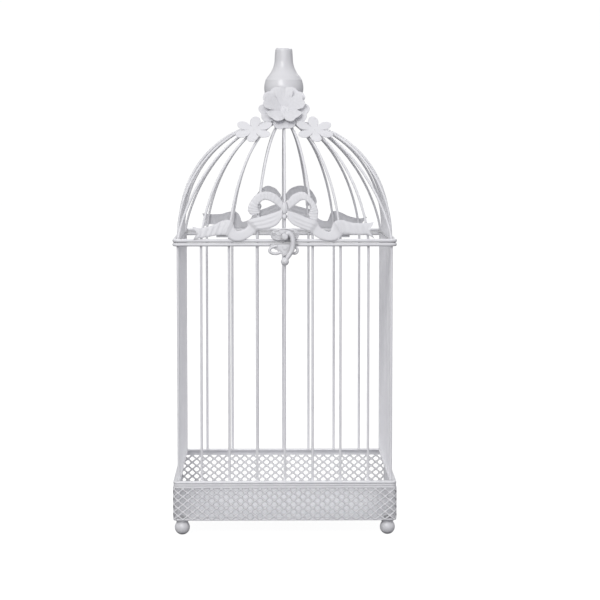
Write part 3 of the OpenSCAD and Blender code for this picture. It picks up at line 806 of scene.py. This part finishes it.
def ribbon(stations, relief, notch=0.0):
    """A ribbon through stations of (x, z) for its upper and its lower edge. relief(place, v) is how far
    it stands out at a place counted in stations and at v from -1, the lower edge, to 1. notch is how far
    its end is cut in."""
    per_gap, across = 9, 18
    thickness, thin_edge = 1.0, 0.3
    rows = spline(stations, per_gap)
    loops = []
    for i, row in enumerate(rows):
        place = i / per_gap
        front, back = [], []
        for j in range(across + 1):
            v = 2 * j / across - 1
            share = (v + 1) / 2
            x = row[2] + (row[0] - row[2]) * share
            z = row[3] + (row[1] - row[3]) * share
            cut = notch * (1 - abs(v)) * smoothstep(len(stations) - 2.6, len(stations) - 1, place)
            x -= math.copysign(cut, x)
            out = relief(place, v)
            edge = thin_edge * smoothstep(0.8, 1, abs(v))
            front.append(on_dome(x, z, out + thickness - edge))
            back.append(on_dome(x, z, out + edge * 0.3))
        loops.append(front + back[::-1])
    return skin(loops, thin=True)


def tail_relief(crest, end, phase):
    """A fan of pleats at the knot, a fold where it ends, a ridge at the crest, and ripples to the end."""
    def relief(place, v):
        fan = 1 - smoothstep(2.7, 3.5, place)
        pleats = 0.15 * math.cos(v * math.pi * 3.2 + phase) * smoothstep(0.3, 1.4, place) * fan
        crown = 0.55 * (1 - v ** 4)
        ridge = 1.2 * math.exp(-((place - crest) / 0.7) ** 2)
        window = smoothstep(crest - 1.2, crest + 0.2, place)
        ripple = 0.2 * math.sin((place - crest) * 6.8 + v * 0.9 + phase) * window
        curl = 0.7 * smoothstep(end - 0.9, end, place)
        return 0.25 + 1.9 * fan + pleats + crown * 0.8 + ridge + ripple + curl
    return relief


def loop_relief(phase):
    """A rounded band with wrinkles across it, standing out furthest at the top of the loop."""
    def relief(place, v):
        wrinkle = 0.17 * math.sin(place * 9 + v * 1.6 + phase) * (0.45 + 0.55 * abs(v))
        return 0.9 + 0.9 * math.sin(min(1, place / 9) * math.pi) + 0.5 * (1 - v ** 4) + wrinkle
    return relief


# Each station is the upper edge's x and height, then the lower edge's.
TAIL_LEFT = [
    (-2.5, 336, -3, 327.5), (-12, 332.5, -8, 320.5), (-24, 329, -17, 316.5), (-37, 325.3, -27, 315.2),
    (-38, 319, -32.5, 310.4), (-41.5, 315.8, -38.5, 306.4), (-46, 314.2, -45, 303.9),
    (-50, 314.6, -52.5, 304.3), (-52, 319, -57, 307), (-53.5, 323, -59.5, 309.6), (-58, 325.4, -63, 310.3),
    (-65, 323.8, -69, 309.6), (-72, 320.4, -75, 308.6), (-79, 318.2, -81, 307.6), (-87, 317, -87.5, 306.6),
    (-94.8, 319, -93.5, 305.3)]
TAIL_RIGHT = [
    (2.5, 335, 2.5, 327), (12, 332, 8, 321), (22, 328, 16.5, 317), (32.5, 324, 25.5, 313.5),
    (36, 317.4, 31, 308.6), (40.5, 314.4, 38, 305.2), (45.8, 313.4, 46, 303.9), (47.6, 317.4, 53, 305.3),
    (49.6, 322, 57.3, 308.8), (54, 325, 59, 311.2), (61.5, 324.3, 64, 311.2), (69, 322.2, 71.5, 310.4),
    (76.5, 321.8, 77.5, 310.2), (84, 321.9, 84, 310.2), (90.8, 323, 91.5, 306.4)]
LOOP_LEFT = [
    (-2.2, 343.5, -4, 336.5), (-7.5, 350, -9.5, 341.2), (-13.5, 353.1, -14, 344),
    (-19.3, 354.2, -17.8, 345.6), (-25, 353.2, -21.2, 345.7), (-30.8, 349.6, -24.6, 343.7),
    (-34.8, 344.2, -27, 340.8), (-37.4, 338.6, -27.4, 337.4), (-37.6, 334.4, -26.4, 334.6),
    (-34.6, 330.2, -25.2, 332.4)]
LOOP_RIGHT = [
    (2.2, 343.5, 4.5, 336), (7.5, 350.2, 9.5, 339.6), (12, 352.7, 13.5, 343), (16.4, 354, 17, 345.2),
    (21, 352.8, 20.4, 345.5), (25.6, 349, 23.6, 343), (29.6, 344.4, 26, 340), (32.6, 339.4, 26.8, 336.8),
    (34.1, 334, 25.4, 333.8), (33.8, 329, 24, 331), (33, 324.6, 25.6, 327)]
CURL_X, CURL_Z, CURL_R, CURL_OUT = -26, 340.4, 1.7, 1.6


def knot_lump(x, z, radii, pleats):
    """A gathered lump of ribbon: an egg shape whose sides have shallow upright folds."""
    rings, pole_gap = 12, 0.15
    fold, middle_out, least_out = 0.09, 1.4, 0.02
    loops = []
    for i in range(rings + 1):
        t = math.pi * (i + pole_gap) / (rings + 2 * pole_gap)
        loop = []
        for a in turns(32):
            swell = 1 + fold * math.cos(a * pleats) * math.sin(t)
            out = middle_out + radii[2] * math.sin(t) * math.sin(a) * swell
            loop.append(on_dome(x + radii[0] * math.sin(t) * math.cos(a) * swell,
                                z - radii[1] * math.cos(t), max(least_out, out)))
        loops.append(loop)
    return skin(loops)


def bow_parts():
    """The closed shapes of each piece of a bow, as it stands on the front."""
    curl = [on_dome(CURL_X + CURL_R * math.cos(a), CURL_Z + CURL_R * math.sin(a), CURL_OUT)
            for a in turns(20)[2:17]]
    return {
        "tail_left": [ribbon(TAIL_LEFT, tail_relief(9.4, 15, 0.4), notch=5)],
        "tail_right": [ribbon(TAIL_RIGHT, tail_relief(8.6, 14, 2.0), notch=4.5)],
        "loop_left": [ribbon(LOOP_LEFT, loop_relief(0.3)), tube(curl, 0.5, 8)],
        "loop_right": [ribbon(LOOP_RIGHT, loop_relief(1.7))],
        "knot": [knot_lump(-0.3, 337.2, (3.5, 6.2, 2.3), 9), knot_lump(-0.6, 328.9, (3.0, 2.8, 2.1), 6)],
    }


def bows():
    for name, turn in (("front", 0), ("back", 2)):
        for part, closed_shapes in bow_parts().items():
            shape = Shape()
            for closed_shape in closed_shapes:
                shape.add(closed_shape, quarter_turn(turn))
            node = name + "_bow_" + part
            piece(node + "_rippled", shape, "lid", MATERIALS["stamped"], [node])


# ---- Clasp ----

def on_plate(x, z, out):
    """A point in front of the clasp plates' back."""
    return Vector((x, -PLATE_BACK - out, z))


def plate_with_edge(outline, thickness, edge_r):
    """A flat plate with a raised round edge along its outline, which lists its points once round."""
    count = len(outline)
    mid_x = sum(x for x, z in outline) / count
    mid_z = sum(z for x, z in outline) / count
    loops = []
    for share, out in ((1, 0.0), (1, thickness - 0.1), (0.97, thickness), (0.5, thickness + 0.15)):
        loops.append([on_plate(mid_x + (x - mid_x) * share, mid_z + (z - mid_z) * share, out)
                      for x, z in outline])
    ring = [on_plate(x, z, thickness) for x, z in outline]
    edge_loops = []
    for i, point in enumerate(ring):
        along = (ring[(i + 1) % count] - ring[i - 1]).normalized()
        out = Vector((0, -1, 0))
        inwards = along.cross(out)
        edge_loops.append([point + edge_r * (math.cos(a) * out + math.sin(a) * inwards) for a in turns(8)])
    return Shape().add(skin(loops)).add(skin(edge_loops, closed=True))


def lid_plate():
    """A plaque with an arched top and a wavy lower edge, ribs that curl in from its ends, and two rivets."""
    half_w = side("lid_clasp_plate", HIGH, X)
    low = side("lid_clasp_plate", LOW, Z)
    high = side("lid_clasp_plate", HIGH, Z)
    arch_r = 26
    arch = arc((0, high - arch_r), arch_r - 0.5, 123, 57, 16)
    lower_edge = [(half_w - 0.4, low + 5), (half_w - 1.2, low + 2.6), (half_w - 4, low + 1.2),
                  (6, low + 0.4), (3, low + 0.9), (0, low + 0.5)]
    outline = lower_edge[::-1] + arch[::-1] + [(-x, z) for x, z in lower_edge[:-1]]
    shape = plate_with_edge(outline, PLATE_FRONT - PLATE_BACK, 0.75)
    rib = [(9.6, 7.4), (7.4, 5.6), (5.4, 5.0), (4.0, 6.2), (4.9, 7.9), (6.8, 9.2), (9.4, 10.6)]
    rib_out, rib_r = 1.2, 0.65
    rivet = [(0.2, 1.3), (0.8, 1.3), (1.1, 1.0), (1.3, 1.6), (1.7, 2.1), (2.2, 2.0), (2.5, 1.0), (0.2, 0.9)]
    rivet_x, rivet_z = 11.05, PARTING_Z + 10.1
    for way in (-1, 1):
        path = spline([on_plate(way * x, low + z, rib_out) for x, z in rib], 5)
        shape.add(tube(path, rib_r, 10))
        stand = Matrix.Translation((way * rivet_x, -PLATE_BACK, rivet_z))
        shape.add(lathe(rivet, 28), stand @ Matrix.Rotation(math.pi / 2, 4, "X"))
    piece("lid_clasp_plate_cast", shape, "lid", MATERIALS["cast"], ["lid_clasp_plate"])


def scroll(points, start_r, end_r):
    """An open scroll: a rod that leaves the shield, curls round and runs back under it."""
    path = spline([on_plate(x, PARTING_Z + z, 1.2) for x, z in points], 6)
    return tube(path, lambda t: start_r + (end_r - start_r) * t, 12)


def cage_plate():
    """A pointed shield under the parting line, with an open scroll on each side."""
    top = PARTING_Z - 0.9
    shield = [(13.4, 0), (12.4, -2), (8.8, -4), (6, -6.6), (3, -9.6), (0, -11.9), (-1.6, -11.9), (-4.2, -9.2),
              (-7.4, -6.6), (-11, -4.6), (-14.2, -2.6), (-14.8, 0), (0, 0.1)]
    left = [(-8, -3.2), (-12.4, -4.2), (-15.2, -6.3), (-15.3, -8.8), (-12.6, -10.6), (-8.4, -10.9),
            (-4.2, -9.6)]
    right = [(6, -3.2), (10.2, -4.2), (12.6, -6.2), (12.6, -9.0), (10.4, -10.8), (7.4, -10.0), (5.0, -7.8)]
    shape = plate_with_edge([(x, top + z) for x, z in shield], 1.2, 0.6)
    shape.add(scroll(left, 1.5, 1.7))
    shape.add(scroll(right, 1.4, 1.5))
    piece("cage_clasp_plate_cast", shape, "cage", MATERIALS["cast"], ["cage_clasp_plate"])


def arm_r(t):
    """The radius of the hook's arm from its eye, at 0, to its ball, at 1."""
    return 2.3 + 0.25 * math.sin(math.pi * t) - 0.35 * smoothstep(0.7, 1, t)


def latch_hook():
    """A cast arm of round section: its eye turns on the stud, and it ends in a ball."""
    ball_r = 4.1
    ball = Vector((0, side("latch_hook", LOW, Y) + ball_r, side("latch_hook", LOW, Z) + ball_r))
    behind_arm, half_t = 1.15, 2.2
    arm_y = -(PLATE_FRONT + behind_arm + half_t)
    over_rivets, to_ball = 0.45, 0.7
    points = [(1.2, 2.6), (4.2, 3.2), (6.9, 0.6), (8.1, -3.8), (8.2, -8.6), (7.2, -13.4), (5.0, -17.8),
              (2.7, -21.2), (0.9, -23.6)]
    path = []
    for x, z in points:
        forward = over_rivets * smoothstep(2, -4, z) + to_ball * smoothstep(-14, -23, z)
        path.append((x, arm_y - forward, PIVOT_Z + z))
    shape = Shape().add(tube(spline(path, 6), arm_r, 16))
    eye_r, bore_r, round_r, bevel = 3.6, 1.55, 1.0, 0.3
    eye = arc((eye_r - round_r, half_t - round_r), round_r, 90, 0, 5)
    eye += arc((eye_r - round_r, round_r - half_t), round_r, 0, -90, 5)
    eye += [(bore_r + bevel, -half_t), (bore_r, bevel - half_t)]
    eye += [(bore_r, half_t - bevel), (bore_r + bevel, half_t)]
    stand = Matrix.Translation((0, arm_y, PIVOT_Z)) @ Matrix.Rotation(math.pi / 2, 4, "X")
    eye_loops = [[(r * math.cos(a), r * math.sin(a), z) for r, z in eye] for a in turns(40)]
    shape.add(skin(eye_loops, closed=True), stand)
    shape.add(lathe(round_profile(ball_r, 20, 0.1), 40), Matrix.Translation(ball))
    piece("latch_hook_cast", shape, "hook", MATERIALS["cast"], ["latch_hook"])


# ---- CAD nodes that keep their shape, or get rounder edges ----

def eased(node, body, width, material):
    """A piece with the shape of a CAD node and edges rounded to width, which stands for it."""
    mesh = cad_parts[node].data.copy()
    shape = bmesh.new()
    shape.from_mesh(mesh)
    bmesh.ops.remove_doubles(shape, verts=shape.verts, dist=0.002 * MM)
    flat, crisp_from = math.radians(0.5), math.radians(50)
    bmesh.ops.dissolve_limit(shape, angle_limit=flat, verts=shape.verts, edges=shape.edges)
    crisp = [e for e in shape.edges if e.is_manifold and e.calc_face_angle() > crisp_from]
    bmesh.ops.bevel(shape, geom=crisp, offset=width * MM, segments=2, affect="EDGES", profile=0.6,
                    clamp_overlap=True)
    bmesh.ops.recalc_face_normals(shape, faces=shape.faces)
    shape.to_mesh(mesh)
    shape.free()
    finish_piece(node + "_eased", mesh, body, material, [node], sharp_from=35)


def hardware():
    """The small turned and stamped pieces, with their edges eased."""
    eased("cage_hinge_leaves", "cage", 0.25, MATERIALS["cast"])
    eased("lid_hinge_leaves", "lid", 0.25, MATERIALS["cast"])
    eased("hinge_pins", "cage", 0.15, MATERIALS["zinc"])
    eased("catch_button", "cage", 0.3, MATERIALS["cast"])
    eased("pivot_stud", "lid", 0.35, MATERIALS["cast"])
    eased("finial_nut", "lid", 0.3, MATERIALS["zinc"])


def dress_nodes():
    """Gives every CAD node its paint or plating."""
    finishes = {"foot_screws": "zinc", "finial_stud": "zinc", "clasp_rivets": "cast", "floor_plate": "plate"}
    for name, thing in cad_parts.items():
        thing.data.materials.clear()
        thing.data.materials.append(MATERIALS[finishes.get(name, "wire")])


make_camera()
make_stage()
make_light()
dress_nodes()
top_rim()
bottom_rim()
lattice_band()
ball_feet()
dome_wires()
welds()
crown_cap()
finial()
large_flower()
small_flowers()
bows()
lid_plate()
cage_plate()
latch_hook()
hardware()
